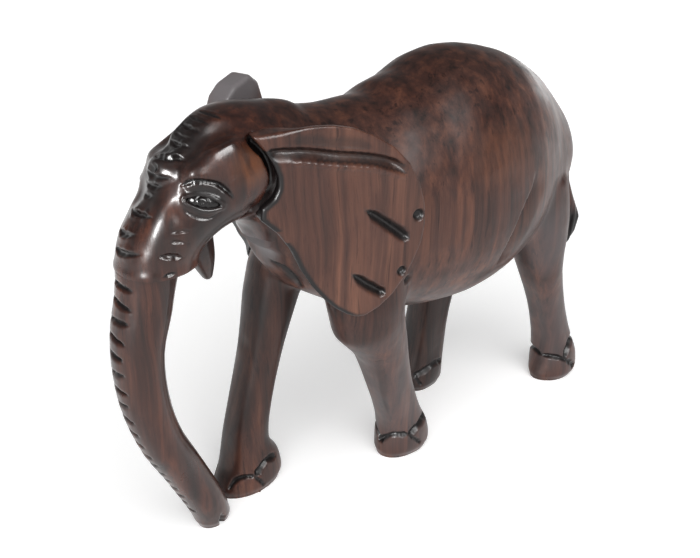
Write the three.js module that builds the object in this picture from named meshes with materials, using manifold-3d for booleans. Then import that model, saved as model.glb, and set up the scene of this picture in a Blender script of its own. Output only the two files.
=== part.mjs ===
// A walking elephant carved in dark hardwood, about 22 cm long and 15 cm tall, as a set of glued blocks.
//
// Millimetres. +Z is up and the elephant walks towards -X, so its left side faces -Y. The floor is z = 0 and
// the origin is the middle of the carving's footprint box. Every mass is a loft: a closed skin over a few
// oval stations. Blocks meet on flat glue joints, and each limb keys into its neighbour with a round tenon.
import * as THREE from "three";
import { mergeVertices } from "three/addons/utils/BufferGeometryUtils.js";
import Module from "manifold-3d";

// Driving dimensions
const GLUE_GAP = 0.3; // left between two glued blocks
const LEG_JOINT_Z = 55; // the level where the four legs meet the body
const NECK_JOINT_X = -62; // the upright plane where the head meets the body
const MUZZLE_JOINT_Z = 104; // the level where the trunk meets the head
const EAR_THICKNESS = 8;
const EAR_BEVEL = { bevelThickness: 0.8, bevelSize: 0.6, bevelOffset: -0.6, bevelSegments: 1 };
const EAR_FLARE = 0.3; // how far an ear's back edge stands out, for each millimetre of its length
const EAR_ROOT = { x: -75, y: 18 }; // where an ear's outer face starts, behind the cheek
const EYE = { x: -89.5, y: 13.4, z: 125, long: 5.2, thick: 2.6, high: 2.6, turn: 0.42, slant: 0.27 };
const TENON = { leg: 5.5, neck: 8, trunk: 4, ear: 4, jaw: 1.8, tail: 1.8 }; // radii of the round tenons
const TENON_SIDES = 20;
const TENON_ROOT = 4; // how far a leg's or the trunk's tenon starts inside its own block
const LEG_TENON_REACH = 12; // and how far it reaches into its neighbour
const TRUNK_TENON_REACH = 10;
const TRUNK_TENON_LEAN = 3;
const FAR = 400; // larger than the carving, for half-space cuts

const WOOD = { roughness: 0.3, metalness: 0 };
const HEARTWOOD = new THREE.MeshStandardMaterial({ color: 0x4a2418, ...WOOD });
const FACE_WOOD = new THREE.MeshStandardMaterial({ color: 0x33180f, ...WOOD });
const EAR_WOOD = new THREE.MeshStandardMaterial({ color: 0x5a3222, ...WOOD });
const EYE_WOOD = new THREE.MeshStandardMaterial({ color: 0x0c0a09, ...WOOD });

const wasm = await Module();
wasm.setup();

const SIDE = new THREE.Vector3(0, 1, 0);

// ---------------------------------------------------------------------------------------------------------
// Lofts. A station is [x, y, z, side, front, back]: a centre and the oval's three radii, where side is the
// half-width across the path, and front and back are the reaches to either side of the centre in its plane.

// The oval rings of a loft, each a function from an angle to a point.
function loftRings(stations, steps, grow) {
  const centres = stations.map(([x, y, z]) => new THREE.Vector3(x, y, z));
  const reaches = stations.map(([, , , ...r]) => new THREE.Vector3(...r));
  const path = new THREE.CatmullRomCurve3(centres, false, "catmullrom", 0.5);
  const sizes = new THREE.CatmullRomCurve3(reaches, false, "catmullrom", 0.5);
  const rings = [];
  for (let i = 0; i <= steps; i++) {
    const u = i / steps;
    const centre = path.getPoint(u);
    const size = sizes.getPoint(u).addScalar(grow);
    const along = path.getTangent(u);
    const front = new THREE.Vector3().crossVectors(SIDE, along).normalize();
    const side = new THREE.Vector3().crossVectors(along, front).normalize();
    if (grow && (i === 0 || i === steps)) {
      centre.addScaledVector(along, i ? grow : -grow);
    }
    rings.push((angle) => {
      const s = Math.cos(angle);
      const f = Math.sin(angle);
      return centre
        .clone()
        .addScaledVector(side, s * size.x)
        .addScaledVector(front, f * (f > 0 ? size.y : size.z));
    });
  }
  return rings;
}

// A closed skin over the stations: a sphere whose rows of vertices are moved onto the rings.
function loft(stations, { steps = 20, around = 20, grow = 0 } = {}) {
  const rings = loftRings(stations, steps, grow);
  const geometry = new THREE.SphereGeometry(1, around, steps + 2);
  const position = geometry.getAttribute("position");
  const middle = (ring) => ring(0).add(ring(Math.PI)).multiplyScalar(0.5);
  for (let row = 0; row <= steps + 2; row++) {
    const ring = rings[Math.min(Math.max(row - 1, 0), steps)];
    for (let i = 0; i <= around; i++) {
      const pole = row === 0 || row === steps + 2;
      const p = pole ? middle(ring) : ring((2 * Math.PI * i) / around);
      position.setXYZ(row * (around + 1) + i, p.x, p.y, p.z);
    }
  }
  return geometry;
}

// A closed three.js geometry as a manifold-3d solid, and back.
function solid(geometry) {
  const bare = geometry.index ? geometry.toNonIndexed() : geometry.clone();
  bare.deleteAttribute("normal");
  bare.deleteAttribute("uv");
  const merged = mergeVertices(bare, 1e-4);
  const made = new wasm.Manifold(
    new wasm.Mesh({
      numProp: 3,
      vertProperties: merged.getAttribute("position").array,
      triVerts: new Uint32Array(merged.index.array),
    }),
  );
  if (made.volume() < 0) throw new Error("a loft is inside out");
  return made;
}

function geometryOf(made) {
  const mesh = made.getMesh();
  return new THREE.BufferGeometry()
    .setAttribute("position", new THREE.BufferAttribute(mesh.vertProperties, 3))
    .setIndex(new THREE.BufferAttribute(mesh.triVerts, 1));
}

// ---------------------------------------------------------------------------------------------------------
// The carving's masses, each listed along its length. An oval's front is its top on a level loft that runs
// towards the head, and its forward side on a loft that runs down.

// Rump to neck, with the hump of the back over the middle.
const BODY = [
  [91, 0, 93, 3, 3, 4],
  [86, 0, 94, 10, 13, 18],
  [76, 0, 96, 15.5, 25, 29],
  [60, 0, 98, 23, 37.5, 31],
  [41, 0, 99, 31, 47.5, 39],
  [18, 0, 99, 34.5, 52, 42.5],
  [-4, 0, 99, 32.5, 46.5, 39.5],
  [-26, 0, 103, 28, 41, 33.5],
  [-44, 0, 112, 22, 33, 28],
  [-58, 0, 121, 17, 24, 18],
  [-70, 0, 127, 15, 17, 14],
];

// Nape, over the crest, down the brow to the muzzle.
const HEAD = [
  [-50, 0, 126, 14, 18, 16],
  [-62, 0, 127, 16, 19, 16],
  [-74, 0, 128, 18, 19, 16],
  [-84, 0, 125, 17.5, 15.8, 14],
  [-93, 0, 118, 15, 9.8, 12],
  [-99, 0, 110, 12.5, 10.2, 12],
  [-103, 0, 103, 11, 8.5, 10],
  [-104, 0, 98, 10, 8, 9],
];

const TRUNK = [
  [-103, 0, 108, 9, 7.2, 11.5],
  [-104.8, 0, 94, 9, 8.2, 8.6],
  [-108, 0, 78, 8.5, 8, 6.5],
  [-108, 0, 60, 8, 7.5, 6.5],
  [-104.8, 0, 42, 7.5, 6, 7.2],
  [-97.6, 0, 24, 7, 5.4, 8],
  [-90.5, 0, 9, 6.5, 6, 7],
  [-86.5, 0, -3, 3.8, 6.5, 6],
];

const JAW = [
  [-87, 0, 118, 7, 5, 5],
  [-86, 0, 108, 6, 5, 5.5],
  [-84, 0, 101, 4.5, 3.5, 4],
  [-82.5, 0, 95, 1.6, 1.2, 1.4],
];

const TAIL = [
  [76, 0, 116, 3, 2.6, 2.6],
  [86.5, 0, 110, 2.8, 2.6, 2.6],
  [92.5, 0, 97, 2.6, 2.4, 2.4],
  [96, 0, 82, 2.4, 2.2, 2.2],
  [101, 0, 70, 3.4, 3, 2.8],
  [104, 0, 62, 4, 3.2, 3.45],
  [100.5, 0, 51, 1.8, 1.6, 1.6],
];

const LEGS = {
  front_left_leg: [
    [-26, -15, 90, 12, 14, 14],
    [-30, -16, 72, 12, 16, 13],
    [-24, -14, 54, 10, 8.8, 12],
    [-17, -13, 34, 8.5, 8, 9],
    [-11, -12, 18, 8, 9, 9],
    [-8.5, -11.5, 7, 9.5, 10.5, 12],
    [-9, -11.5, -4, 7, 12, 13.5],
  ],
  front_right_leg: [
    [-42, 12, 98, 10, 8, 14],
    [-49, 14, 78, 10, 8.5, 12.5],
    [-55.5, 13, 54, 8.5, 7.5, 8],
    [-61.4, 12, 34, 8, 8, 7],
    [-66, 11, 18, 8.5, 8.4, 9],
    [-66, 10.5, 7, 9.5, 11.5, 14],
    [-68, 9.5, -4, 10, 15, 14],
  ],
  rear_left_leg: [
    [60, -11, 94, 13, 16, 15],
    [63, -13, 74, 14, 11, 13],
    [67, -14, 56, 11, 8, 8.5],
    [72.5, -14, 38, 8.5, 6, 7.5],
    [78, -14.5, 20, 8.5, 7, 8.5],
    [80, -16, 7, 10, 10, 11],
    [79.5, -15.2, -4, 6, 13, 12.5],
  ],
  rear_right_leg: [
    [56, 11, 94, 13, 18, 20],
    [47, 13, 74, 13.5, 15, 14],
    [38, 14.5, 56, 10, 12, 7.2],
    [32.5, 15, 38, 8.5, 9.5, 8],
    [29.5, 16, 20, 8.5, 9, 10.6],
    [28, 17, 7, 9.5, 10, 12],
    [28.5, 17, -4, 7.2, 11, 13],
  ],
};

// An ear's outline as x and z, from the top of its root, back along the top and round the lobe.
const EAR_TOP_EDGES = {
  left_ear: [
    [-75, 141.5],
    [-64, 142],
    [-52, 142],
    [-40, 138.5],
    [-28, 130],
  ],
  right_ear: [
    [-75, 137],
    [-67.5, 139],
    [-63, 145.5],
    [-51, 148.5],
    [-46, 138.5],
    [-36, 129],
  ],
};
const EAR_LOBE = [
  [-21, 117],
  [-20, 104],
  [-24, 93],
  [-31, 83],
  [-40, 77.5],
  [-46, 79],
  [-53, 85],
  [-60, 95],
  [-66, 108],
  [-74.5, 117.5],
  [-69, 123],
  [-68, 129],
  [-71, 136],
];

// ---------------------------------------------------------------------------------------------------------
// Cutting and joining

// A box solid between two corners.
function box(low, high) {
  const size = high.map((v, i) => v - low[i]);
  const middle = high.map((v, i) => (v + low[i]) / 2);
  return solid(new THREE.BoxGeometry(...size).translate(...middle));
}

const above = (z) => box([-FAR, -FAR, z], [FAR, FAR, FAR]);
const below = (z) => box([-FAR, -FAR, -FAR], [FAR, FAR, z]);
const behind = (x) => box([x, -FAR, -FAR], [FAR, FAR, FAR]);
const before = (x) => box([-FAR, -FAR, -FAR], [x, FAR, FAR]);

// A round rod from one point to another, as a tenon, or grown by the glue gap as its socket.
function rod(from, to, radius, grow = 0) {
  const start = new THREE.Vector3(...from);
  const way = new THREE.Vector3(...to).sub(start);
  const length = way.length() + grow;
  const turn = new THREE.Quaternion().setFromUnitVectors(new THREE.Vector3(0, 1, 0), way.normalize());
  const geometry = new THREE.CylinderGeometry(radius + grow, radius + grow, length, TENON_SIDES);
  geometry.translate(0, length / 2, 0).applyQuaternion(turn).translate(...start.toArray());
  return solid(geometry);
}

// The one body that is left when a cut also leaves slivers.
function largest(made) {
  return made.decompose().sort((a, b) => b.volume() - a.volume())[0];
}

const DETAIL = {
  body: { steps: 28, around: 38 },
  head: { steps: 18, around: 30 },
  trunk: { steps: 24, around: 18 },
  leg: { steps: 14, around: 18 },
  small: { steps: 10, around: 12 },
};

// The body, the head and the tops of the legs as one mass, before it is cut into blocks.
function wholeMass(grow) {
  let made = solid(loft(BODY, { ...DETAIL.body, grow })).add(solid(loft(HEAD, { ...DETAIL.head, grow })));
  for (const stations of Object.values(LEGS)) {
    made = made.add(solid(loft(stations, { ...DETAIL.leg, grow })).intersect(above(LEG_JOINT_Z)));
  }
  return made;
}

const MASS = wholeMass(0);
const MASS_WITH_GAP = wholeMass(GLUE_GAP);

// ---------------------------------------------------------------------------------------------------------
// Tenons, each from the block that carries it into its neighbour

// Where a falling loft's middle line crosses a level.
function crossing(stations, z) {
  const next = stations.findIndex((station) => station[2] < z);
  const [a, b] = [stations[next - 1], stations[next]];
  const t = (z - a[2]) / (b[2] - a[2]);
  return [a[0] + t * (b[0] - a[0]), a[1] + t * (b[1] - a[1]), z];
}

function legTenon(name, grow) {
  const start = crossing(LEGS[name], LEG_JOINT_Z - TENON_ROOT);
  const end = crossing(LEGS[name], LEG_JOINT_Z + LEG_TENON_REACH);
  return rod(start, end, TENON.leg, grow);
}

function trunkTenon(grow) {
  const [x, y, z] = crossing(TRUNK, MUZZLE_JOINT_Z);
  const end = [x + TRUNK_TENON_LEAN, y, z + TRUNK_TENON_REACH];
  return rod([x, y, z - TENON_ROOT], end, TENON.trunk, grow);
}

// The start and end of each tenon that doesn't follow a loft, with the ear's on the elephant's right.
const TENON_ENDS = {
  neck: [[-66, 0, 126], [-48, 0, 124]],
  ear: [[-48, 25, 116], [-44, 11, 114]],
  jaw: [[-86, 0, 106], [-88, 0, 117]],
  tail: [[93, 0, 101], [79, 0, 98]],
};

// side is -1 on the elephant's left and +1 on its right.
function tenon(name, grow, side = 1) {
  const [start, end] = TENON_ENDS[name].map(([x, y, z]) => [x, side * y, z]);
  return rod(start, end, TENON[name], grow);
}

// ---------------------------------------------------------------------------------------------------------
// Blocks

function torso() {
  let made = MASS.intersect(behind(NECK_JOINT_X + GLUE_GAP / 2)).intersect(above(LEG_JOINT_Z + GLUE_GAP));
  for (const name of Object.keys(LEGS)) made = made.subtract(legTenon(name, GLUE_GAP));
  for (const side of [-1, 1]) made = made.subtract(tenon("ear", GLUE_GAP, side));
  return made.subtract(tenon("neck", GLUE_GAP)).subtract(tenon("tail", GLUE_GAP));
}

function head() {
  let made = MASS.intersect(before(NECK_JOINT_X - GLUE_GAP / 2)).add(tenon("neck", 0));
  made = made.intersect(above(MUZZLE_JOINT_Z + GLUE_GAP));
  for (const side of [-1, 1]) made = made.subtract(eye(side, GLUE_GAP));
  return made.subtract(trunkTenon(GLUE_GAP)).subtract(tenon("jaw", GLUE_GAP));
}

function trunk() {
  const made = solid(loft(TRUNK, DETAIL.trunk)).intersect(above(0));
  return made.intersect(below(MUZZLE_JOINT_Z)).add(trunkTenon(0));
}

function lowerJaw() {
  return largest(solid(loft(JAW, DETAIL.small)).subtract(MASS_WITH_GAP)).add(tenon("jaw", 0));
}

function leg(name) {
  const made = solid(loft(LEGS[name], DETAIL.leg)).intersect(above(0));
  return made.intersect(below(LEG_JOINT_Z)).add(legTenon(name, 0));
}

function ear(name, side) {
  const edge = [...EAR_TOP_EDGES[name], ...EAR_LOBE].map(([x, z]) => new THREE.Vector2(x - EAR_ROOT.x, z));
  const outline = new THREE.Shape(new THREE.SplineCurve(edge).getPoints(32));
  const depth = EAR_THICKNESS - 2 * EAR_BEVEL.bevelThickness;
  const geometry = new THREE.ExtrudeGeometry(outline, { depth, ...EAR_BEVEL });
  // The slab is stood up, its outer face towards -Y, and swung out behind its root.
  geometry.translate(0, 0, -EAR_THICKNESS + EAR_BEVEL.bevelThickness).rotateX(Math.PI / 2);
  geometry.rotateZ(-Math.atan(EAR_FLARE)).translate(EAR_ROOT.x, -EAR_ROOT.y, 0);
  if (side > 0) geometry.scale(1, -1, 1);
  const slab = side > 0 ? solid(flipped(geometry)) : solid(geometry);
  return largest(slab.subtract(MASS_WITH_GAP)).add(tenon("ear", 0, side));
}

// The same geometry with every triangle turned round, after mirroring.
function flipped(geometry) {
  const bare = geometry.index ? geometry.toNonIndexed() : geometry;
  const p = bare.getAttribute("position");
  for (let i = 0; i < p.count; i += 3) {
    const [x, y, z] = [p.getX(i), p.getY(i), p.getZ(i)];
    p.setXYZ(i, p.getX(i + 1), p.getY(i + 1), p.getZ(i + 1));
    p.setXYZ(i + 1, x, y, z);
  }
  return bare;
}

function tail() {
  return largest(solid(loft(TAIL, DETAIL.small)).subtract(MASS_WITH_GAP)).add(tenon("tail", 0));
}

function eye(side, grow = 0) {
  const geometry = new THREE.SphereGeometry(1, 14, 9);
  geometry.scale(EYE.long + grow, EYE.thick + grow, EYE.high + grow);
  geometry.rotateY(EYE.slant).rotateZ(side * EYE.turn).translate(EYE.x, side * EYE.y, EYE.z);
  return solid(geometry);
}

// ---------------------------------------------------------------------------------------------------------
const group = new THREE.Group();

function add(name, material, made) {
  const mesh = new THREE.Mesh(geometryOf(made), material);
  mesh.name = name;
  group.add(mesh);
}

add("torso", HEARTWOOD, torso());
add("head", FACE_WOOD, head());
add("trunk", HEARTWOOD, trunk());
add("lower_jaw", FACE_WOOD, lowerJaw());
add("left_ear", EAR_WOOD, ear("left_ear", -1));
add("right_ear", EAR_WOOD, ear("right_ear", 1));
for (const name of Object.keys(LEGS)) add(name, HEARTWOOD, leg(name));
add("tail", HEARTWOOD, tail());
add("left_eye", EYE_WOOD, eye(-1));
add("right_eye", EYE_WOOD, eye(1));

const bounds = new THREE.Box3().setFromObject(group);
const middle = bounds.getCenter(new THREE.Vector3());
group.position.set(-middle.x, -middle.y, 0);

export default group;
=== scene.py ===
import math

import bmesh
import bpy
import numpy as np
from mathutils import Matrix, Vector, kdtree


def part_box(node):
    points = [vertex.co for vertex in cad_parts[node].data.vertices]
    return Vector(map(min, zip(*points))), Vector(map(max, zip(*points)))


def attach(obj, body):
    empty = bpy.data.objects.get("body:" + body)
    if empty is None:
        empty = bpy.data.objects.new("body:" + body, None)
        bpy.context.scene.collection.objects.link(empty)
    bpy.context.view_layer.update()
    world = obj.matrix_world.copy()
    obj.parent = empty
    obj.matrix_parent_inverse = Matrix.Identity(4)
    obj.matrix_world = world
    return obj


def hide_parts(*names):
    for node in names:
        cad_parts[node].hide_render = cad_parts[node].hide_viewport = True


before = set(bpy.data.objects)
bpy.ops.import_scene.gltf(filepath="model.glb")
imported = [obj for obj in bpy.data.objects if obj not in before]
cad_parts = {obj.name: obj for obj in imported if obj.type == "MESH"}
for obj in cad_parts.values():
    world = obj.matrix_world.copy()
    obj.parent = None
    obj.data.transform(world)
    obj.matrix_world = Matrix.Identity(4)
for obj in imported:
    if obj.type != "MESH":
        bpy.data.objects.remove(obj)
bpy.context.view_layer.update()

TO_METRES = 0.001
NECK_SEAM = ((-57.6, 0.0, 120.0), (1.0, 0.0, -0.14))  # a point on the seam, and the way to the body
LEG_SEAM_Z = 55.0
MUZZLE_SEAM_Z = 104.0
SKIN_GROWTH = 0.3  # how far the skins stand out before they are worn, in place of what the wear takes away
rng = np.random.default_rng(12)


# ---- Skins


def in_scene(name, data):
    """A new object in the scene."""
    obj = bpy.data.objects.new(name, data)
    bpy.context.scene.collection.objects.link(obj)
    return obj


def edge_ends(mesh):
    """The two points of each edge."""
    edges = np.empty(len(mesh.edges) * 2, np.int32)
    mesh.edges.foreach_get("vertices", edges)
    return edges.reshape(-1, 2)


def shell_of(node, grow, reshape=None):
    """A CAD node's skin as (points, faces) in millimetres, grown outwards and then reshaped."""
    bm = bmesh.new()
    bm.from_mesh(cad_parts[node].data)
    bmesh.ops.remove_doubles(bm, verts=bm.verts, dist=1e-7)
    bmesh.ops.scale(bm, vec=(1 / TO_METRES,) * 3, verts=bm.verts)
    bm.normal_update()
    points = np.array([v.co + v.normal * grow for v in bm.verts])
    faces = [[v.index for v in f.verts] for f in bm.faces]
    bm.free()
    if reshape is not None:
        points = reshape(points)
    return points, faces


def rod(start, end, radius):
    """A round rod as (points, faces), which fills a socket."""
    sides = 16
    start, end = np.array(start, float), np.array(end, float)
    way = (end - start) / np.linalg.norm(end - start)
    across = np.cross(way, (0.3, 0.9, 0.2))
    across /= np.linalg.norm(across)
    up = np.cross(way, across)
    turn = np.arange(sides) * 2 * math.pi / sides
    ring = radius * (np.cos(turn)[:, None] * across + np.sin(turn)[:, None] * up)
    points = np.concatenate([start + ring, end + ring])
    faces = [[i, (i + 1) % sides, sides + (i + 1) % sides, sides + i] for i in range(sides)]
    faces.append(list(range(sides))[::-1])
    faces.append(list(range(sides, 2 * sides)))
    return points, faces


def skin_over(name, shells, voxel, wear):
    """One closed skin of small squares over the shells, with their edges worn away."""
    points, faces = [], []
    for shell_points, shell_faces in shells:
        first = sum(len(p) for p in points)
        points.append(shell_points)
        faces += [[i + first for i in f] for f in shell_faces]
    mesh = bpy.data.meshes.new(name + "_shells")
    mesh.from_pydata(np.concatenate(points).tolist(), [], faces)
    obj = in_scene(name + "_shells", mesh)
    remesh = obj.modifiers.new("skin", "REMESH")
    remesh.mode = "VOXEL"
    remesh.voxel_size = voxel
    smooth = obj.modifiers.new("wear", "SMOOTH")
    smooth.factor = 0.5
    smooth.iterations = wear
    depsgraph = bpy.context.evaluated_depsgraph_get()
    made = bpy.data.meshes.new_from_object(obj.evaluated_get(depsgraph))
    bpy.data.objects.remove(obj)
    keep_body(made)
    return made


def keep_body(mesh, centre=None):
    """Drops every separate body of a mesh but the largest, or but the one round a centre."""
    one, two = edge_ends(mesh).T
    label = np.arange(len(mesh.vertices))
    while True:
        low = np.minimum(label[one], label[two])
        before = label.copy()
        np.minimum.at(label, one, low)
        np.minimum.at(label, two, low)
        label = label[label]
        if np.array_equal(before, label):
            break
    values, sizes = np.unique(label, return_counts=True)
    if len(values) == 1:
        return
    kept = values[sizes.argmax()]
    if centre is not None:
        co = np.array([v.co for v in mesh.vertices])
        gaps = [np.linalg.norm((co[label == v].min(0) + co[label == v].max(0)) / 2 - centre) for v in values]
        kept = values[int(np.argmin(gaps))]
    bm = bmesh.new()
    bm.from_mesh(mesh)
    bmesh.ops.delete(bm, geom=[v for v in bm.verts if label[v.index] != kept], context="VERTS")
    bm.to_mesh(mesh)
    bm.free()


def ease(x):
    """A smooth step from 0 to 1."""
    x = np.clip(x, 0, 1)
    return x * x * (3 - 2 * x)


def curve_through(points, step=0.3):
    """A smooth line through a few points, as evenly spaced points."""
    p = np.array(points, float)
    p = np.concatenate([[2 * p[0] - p[1]], p, [2 * p[-1] - p[-2]]])
    t = np.linspace(0, 1, 24, endpoint=False)[:, None]
    pieces = []
    for a, b, c, d in zip(p[:-3], p[1:-2], p[2:-1], p[3:]):
        square = 2 * a - 5 * b + 4 * c - d
        cube = 3 * b - a - 3 * c + d
        pieces.append(0.5 * (2 * b + (c - a) * t + square * t**2 + cube * t**3))
    line = np.concatenate([*pieces, [p[-2]]])
    length = np.concatenate([[0], np.cumsum(np.linalg.norm(np.diff(line, axis=0), axis=1))])
    even = np.linspace(0, length[-1], max(3, int(length[-1] / step)))
    return np.stack([np.interp(even, length, line[:, k]) for k in range(3)], axis=1)


def running_mean(values, reach):
    """Each row's mean with the rows up to a reach before and after it."""
    padded = np.concatenate([values[:1]] * reach + [values] + [values[-1:]] * reach)
    total = np.cumsum(np.concatenate([padded[:1] * 0, padded]), axis=0)
    return (total[2 * reach + 1:] - total[:-2 * reach - 1]) / (2 * reach + 1)


# How deep a cut is at a share of its half-width from its middle.
PROFILES = {
    "vee": lambda u: 1 - u,
    "round": lambda u: (1 - u * u) ** 2,
    "flat": lambda u: 1 - ease((u - 0.45) / 0.55),
    "slope": lambda u: (1 - u) ** 1.3,
}


class Clay:
    """A mesh that is being carved: its points, their outward directions, and three amounts of colour.

    The amounts run from 0 to 1 at each point: stain is the black of the cuts, warm is the redder wood, and
    the third is a painted grey sheen, a painted reflection of the pale floor and room.
    """

    def __init__(self, mesh):
        self.mesh = mesh
        self.count = len(mesh.vertices)
        self.co = self.taken("vertices", "co")
        self.stain = np.zeros(self.count)
        self.warm = np.zeros(self.count)
        self.painted_sheen = np.zeros(self.count)
        self.settle()

    def taken(self, group, key):
        """One vector for each point, from one of the mesh's own lists."""
        values = np.empty(self.count * 3, np.float32)
        getattr(self.mesh, group).foreach_get(key, values)
        return values.reshape(-1, 3).astype(float)

    def settle(self):
        """Writes the points back, and takes the outward directions again."""
        self.mesh.vertices.foreach_set("co", self.co.astype(np.float32).ravel())
        self.mesh.update()
        self.normal = self.taken("vertex_normals", "vector")

    def push(self, amount):
        """Moves every point outwards by its amount."""
        self.co += self.normal * amount[:, None]

    def soften(self, amount, rounds):
        """Evens out the skin, by an amount from 0 to 1 at each point."""
        one, two = edge_ends(self.mesh).T
        joined = np.bincount(one, minlength=self.count) + np.bincount(two, minlength=self.count)
        joined = np.maximum(joined, 1)
        for _ in range(rounds):
            total = np.zeros_like(self.co)
            for k in range(3):
                total[:, k] = np.bincount(one, self.co[two, k], self.count)
                total[:, k] += np.bincount(two, self.co[one, k], self.count)
            self.co += (total / joined[:, None] - self.co) * (0.6 * amount)[:, None]

    def soften_area(self, centre, radii, rounds):
        """Evens out an oval area, less towards its edge."""
        off = (self.co - np.array(centre)) / np.array(radii, float)
        self.soften(ease(1.5 * (1 - np.linalg.norm(off, axis=1))), rounds)

    def near(self, path, reach):
        """The points close to a path, as four arrays.

        They are the points' numbers, how far each is to the path's left, how far along the path it is from 0
        to 1, and the skin's outward direction there.
        """
        line = curve_through(path)
        box = (self.co > line.min(0) - reach - 3) & (self.co < line.max(0) + reach + 3)
        which = np.flatnonzero(box.all(1))
        p, n = self.co[which], self.normal[which]
        # The line is dropped onto the skin first, the way that the skin faces along a few millimetres of it.
        nearest = ((line[:, None] - p[None]) ** 2).sum(2).argmin(1)
        facing = running_mean(n[nearest], 8)
        facing /= np.linalg.norm(facing, axis=1)[:, None]
        lift = running_mean(((line - p[nearest]) * facing).sum(1)[:, None], 4)
        line = line - facing * lift
        tangent = np.gradient(line, axis=0)
        tangent /= np.linalg.norm(tangent, axis=1)[:, None]
        j = ((p[:, None] - line[None]) ** 2).sum(2).argmin(1)
        outward = facing[j]
        off = p - line[j]
        deep = (off * outward).sum(1)
        off -= outward * deep[:, None]
        distance = np.linalg.norm(off, axis=1)
        left = np.sign((np.cross(outward, tangent[j]) * off).sum(1))
        good = (distance < reach) & (np.abs(deep) < 4) & ((n * outward).sum(1) > 0.1)
        return which[good], (distance * left)[good], (j / (len(line) - 1))[good], outward[good]

    def carve(self, path, width, depth, shape="vee", ends=0.3, stain=1.0, wobble=0.12, taper=0.7):
        """Cuts a groove along a path, or with a negative depth raises a ridge.

        Width is the half-width, or one for each side: left, then right. Ends are the shares of the length
        over which the cut fades in and out, and taper is how much of its width it loses there.
        """
        left, right = width if isinstance(width, tuple) else (width, width)
        first, last = ends if isinstance(ends, tuple) else (ends, ends)
        which, side, t, outward = self.near(path, 1.15 * max(left, right))
        if not len(which):
            return
        fade = ease(t / max(first, 1e-3)) * ease((1 - t) / max(last, 1e-3))
        waves = rng.uniform(0, 6.3, 3)
        uneven = 1 + wobble * np.sin(t * 9 + waves[0]) + 0.6 * wobble * np.sin(t * 23 + waves[1])
        narrow = (1 - taper + taper * fade) * uneven
        u = np.where(side > 0, side / (left * narrow), -side / (right * narrow))
        cut = PROFILES[shape](np.clip(u, 0, 1)) * fade ** 0.7
        self.co[which] -= outward * (depth * cut * uneven)[:, None]
        if depth > 0 and stain:
            dark = stain * (1 - ease((u - 0.45) / 0.6)) * ease(fade * 3)
            self.stain[which] = np.maximum(self.stain[which], dark)

    def dab(self, centre, radii, amount, axis=None):
        """Swells, or with a negative amount sinks, an oval area, outwards or along an axis."""
        off = (self.co - np.array(centre)) / np.array(radii, float)
        share = np.clip(1 - (off**2).sum(1), 0, 1) ** 2 * amount
        if axis is None:
            self.push(share)
        else:
            self.co += share[:, None] * np.array(axis, float)

    def pit(self, centre, facing, radius, depth):
        """Drills a shallow round pit with a black floor, and eases its edge."""
        off = self.co - np.array(centre)
        facing = np.array(facing) / np.linalg.norm(facing)
        off -= facing * (off @ facing)[:, None]
        far = np.linalg.norm(off, axis=1)
        near = (self.co - np.array(centre)) @ facing > -4
        hit = (far < radius * 1.3) & near & (self.normal @ facing > 0.3)
        share = 1 - ease((far[hit] / radius - 0.55) / 0.6)
        self.co[hit] -= self.normal[hit] * (depth * share)[:, None]
        self.stain[hit] = np.maximum(self.stain[hit], 1 - ease((far[hit] / radius - 0.8) / 0.4))

    def tint(self, centre, radii, stain=0.0, warm=0.0, painted_sheen=0.0):
        """Stains, warms or gives a painted grey sheen to an oval area, which fades towards its edge."""
        off = (self.co - np.array(centre)) / np.array(radii, float)
        share = ease(1.4 * (1 - np.sqrt((off**2).sum(1))))
        self.stain = np.maximum(self.stain, share * stain)
        self.warm = np.maximum(self.warm, share * warm)
        self.painted_sheen = np.maximum(self.painted_sheen, share * painted_sheen)

    def finish(self):
        """Writes the points and the colour attributes onto the mesh."""
        self.settle()
        for name, values in (("stain", self.stain), ("warm", self.warm), ("painted_sheen", self.painted_sheen)):
            layer = self.mesh.attributes.get(name) or self.mesh.attributes.new(name, "FLOAT", "POINT")
            layer.data.foreach_set("value", np.clip(values, 0, 1).astype(np.float32))


def both_sides(points):
    """Each side with the same path there: -1 is the elephant's left, and 1 its right."""
    return (-1, [(x, -abs(y), z) for x, y, z in points]), (1, [(x, abs(y), z) for x, y, z in points])


def for_side(side, widths):
    """A cut's two half-widths, given for the left side, and swapped for the right."""
    return widths if side < 0 else widths[::-1]


# ---- The whole skin, before it is cut into blocks

LEG_NODES = ("front_left_leg", "front_right_leg", "rear_left_leg", "rear_right_leg")


def below_floor(points):
    """Runs a leg's sole on below the floor, so that the sole can be cut flat afterwards."""
    points[points[:, 2] < 0.6, 2] -= 4
    return points


def below_muzzle(points):
    """Runs the head on below the muzzle seam, so that its lip can be cut sharp afterwards."""
    points[points[:, 2] < MUZZLE_SEAM_Z + 0.6, 2] -= 4
    return points


def whole_skin():
    """Body, head and legs under one skin, with the sockets for the trunk, jaw, tail and ears filled."""
    shells = [shell_of("torso", SKIN_GROWTH), shell_of("head", SKIN_GROWTH, below_muzzle)]
    shells += [shell_of(node, SKIN_GROWTH, below_floor) for node in LEG_NODES]
    shells += [shell_of(node, 0.2) for node in ("left_eye", "right_eye")]
    shells.append(rod((-98, 0, 99.6), (-95, 0, 116), 4.6))  # the trunk's socket
    shells.append(rod((-81.6, 0, 99.6), (-83.6, 0, 119), 2.4))  # the jaw's
    shells.append(rod((97, 0, 100.5), (82, 0, 98), 2.4))  # the tail's
    for side in (-1, 1):
        shells.append(rod((-43.6, side * 23.5, 116), (-39.6, side * 8, 114), 4.7))  # the ears'
    return Clay(skin_over("whole", shells, voxel=0.8, wear=34))


def leg_axis(node):
    """A leg's middle line, as the centre of its section at even levels."""
    co = np.array([v.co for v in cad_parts[node].data.vertices]) / TO_METRES
    centres = []
    for z in np.arange(2, 56, 6.0):
        ring = co[np.abs(co[:, 2] - z) < 5]
        middle = (ring[:, :2].min(0) + ring[:, :2].max(0)) / 2
        centres.append((*middle, z))
    return np.array(centres)


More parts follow.
